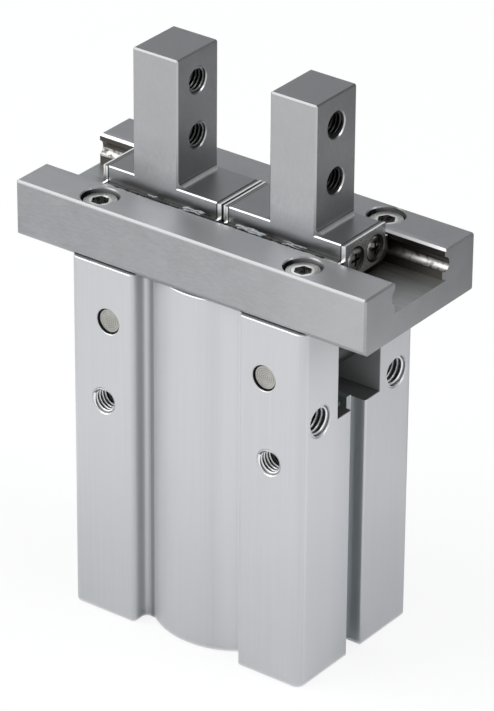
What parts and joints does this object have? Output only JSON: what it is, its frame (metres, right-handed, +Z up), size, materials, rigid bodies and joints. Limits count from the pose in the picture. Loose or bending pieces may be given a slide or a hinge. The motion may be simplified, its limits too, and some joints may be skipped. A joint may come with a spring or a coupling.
{
  "type": "pneumatic parallel gripper",
  "caption": "Long air cylinder body under a guide rail, on which finger blocks with threaded holes slide together and apart to grip.",
  "frame": {"origin": "centre of the housing's bottom face", "axes": "+X along the guide rail, in which the right finger opens; -Y out of the front face with the air ports; +Z up, from the cylinder's cap to the fingers"},
  "size_m": [0.0772, 0.0338, 0.1104],
  "materials": {
    "body_aluminium": "satin clear anodised extrusion",
    "rail_steel": "fine ground, matt",
    "finger_steel": "fine ground, matt",
    "end_plate_steel": "rolled sheet",
    "screw_steel": "stainless, satin",
    "plate_screw_steel": "dark nickel plated",
    "shaft_steel": "ground end",
    "lever_steel": "hardened, dark",
    "cap_aluminium": "turned",
    "spring_steel": "phosphated spring steel",
    "rod_steel": "ground and hard chromed",
    "plug_steel": "turned",
    "seal_rubber": "smooth",
    "bumper_rubber": "smooth",
    "magnet_rubber": "bonded magnet",
    "ball_steel": "polished"
  },
  "bodies": {
    "root": {"cap_seal": "seal_rubber", "closing_bumper": "bumper_rubber", "end_cap": "cap_aluminium", "guide_rail": "rail_steel", "housing": "body_aluminium", "lever_shaft_left": "shaft_steel", "lever_shaft_right": "shaft_steel", "opening_bumper": "bumper_rubber", "passage_plug_left": "plug_steel", "passage_plug_right": "plug_steel", "rail_screw_front_left": "screw_steel", "rail_screw_front_right": "screw_steel", "rail_screw_rear_left": "screw_steel", "rail_screw_rear_right": "screw_steel", "retaining_ring": "spring_steel", "rod_seal": "seal_rubber", "seal_support": "cap_aluminium", "support_clip": "spring_steel"},
    "piston": {"piston": "cap_aluminium", "piston_seal": "seal_rubber", "magnet": "magnet_rubber", "piston_rod": "rod_steel", "piston_nut": "rod_steel", "joint_pin": "rod_steel", "pin_roller_front": "rod_steel", "pin_roller_rear": "rod_steel"},
    "lever_right": {"lever_right": "lever_steel"},
    "lever_left": {"lever_left": "lever_steel"},
    "finger_right": {"ball_stop_inner_right": "end_plate_steel", "ball_stop_outer_right": "end_plate_steel", "end_plate_inner_right": "end_plate_steel", "end_plate_outer_right": "end_plate_steel", "end_seal_inner_right": "seal_rubber", "end_seal_outer_right": "seal_rubber", "finger_right": "finger_steel", "plate_screws_inner_right": "plate_screw_steel", "plate_screws_outer_right": "plate_screw_steel"},
    "finger_left": {"ball_stop_inner_left": "end_plate_steel", "ball_stop_outer_left": "end_plate_steel", "end_plate_inner_left": "end_plate_steel", "end_plate_outer_left": "end_plate_steel", "end_seal_inner_left": "seal_rubber", "end_seal_outer_left": "seal_rubber", "finger_left": "finger_steel", "plate_screws_inner_left": "plate_screw_steel", "plate_screws_outer_left": "plate_screw_steel"},
    "balls_right": {"ball_row_front_right": "ball_steel", "ball_row_rear_right": "ball_steel"},
    "balls_left": {"ball_row_front_left": "ball_steel", "ball_row_rear_left": "ball_steel"}
  },
  "joints": [
    {"name": "piston_stroke", "type": "slide", "parent": "root", "child": "piston", "axis": [0, 0, 1], "range_m": [0, 0.01152]},
    {"name": "finger_right_slide", "type": "slide", "parent": "root", "child": "finger_right", "axis": [1, 0, 0], "range_m": [0, 0.011]},
    {"name": "finger_left_slide", "type": "slide", "parent": "root", "child": "finger_left", "axis": [-1, 0, 0], "range_m": [0, 0.011]},
    {"name": "lever_right_swing", "type": "hinge", "parent": "root", "child": "lever_right", "pos_m": [0.0174, 0, 0.0611], "axis": [0, 1, 0], "range_deg": [0, 36.64]},
    {"name": "lever_left_swing", "type": "hinge", "parent": "root", "child": "lever_left", "pos_m": [-0.0174, 0, 0.0611], "axis": [0, -1, 0], "range_deg": [0, 36.64]},
    {"name": "balls_right_roll", "type": "slide", "parent": "root", "child": "balls_right", "axis": [1, 0, 0], "range_m": [0, 0.0055]},
    {"name": "balls_left_roll", "type": "slide", "parent": "root", "child": "balls_left", "axis": [-1, 0, 0], "range_m": [0, 0.0055]}
  ],
  "couplings": [
    {"joint": "finger_right_slide", "follows": "piston_stroke", "ratio": 0.95478},
    {"joint": "finger_left_slide", "follows": "piston_stroke", "ratio": 0.95478},
    {"joint": "lever_right_swing", "follows": "piston_stroke", "rad_per_m": 55.5},
    {"joint": "lever_left_swing", "follows": "piston_stroke", "rad_per_m": 55.5},
    {"joint": "balls_right_roll", "follows": "piston_stroke", "ratio": 0.47739},
    {"joint": "balls_left_roll", "follows": "piston_stroke", "ratio": 0.47739}
  ]
}
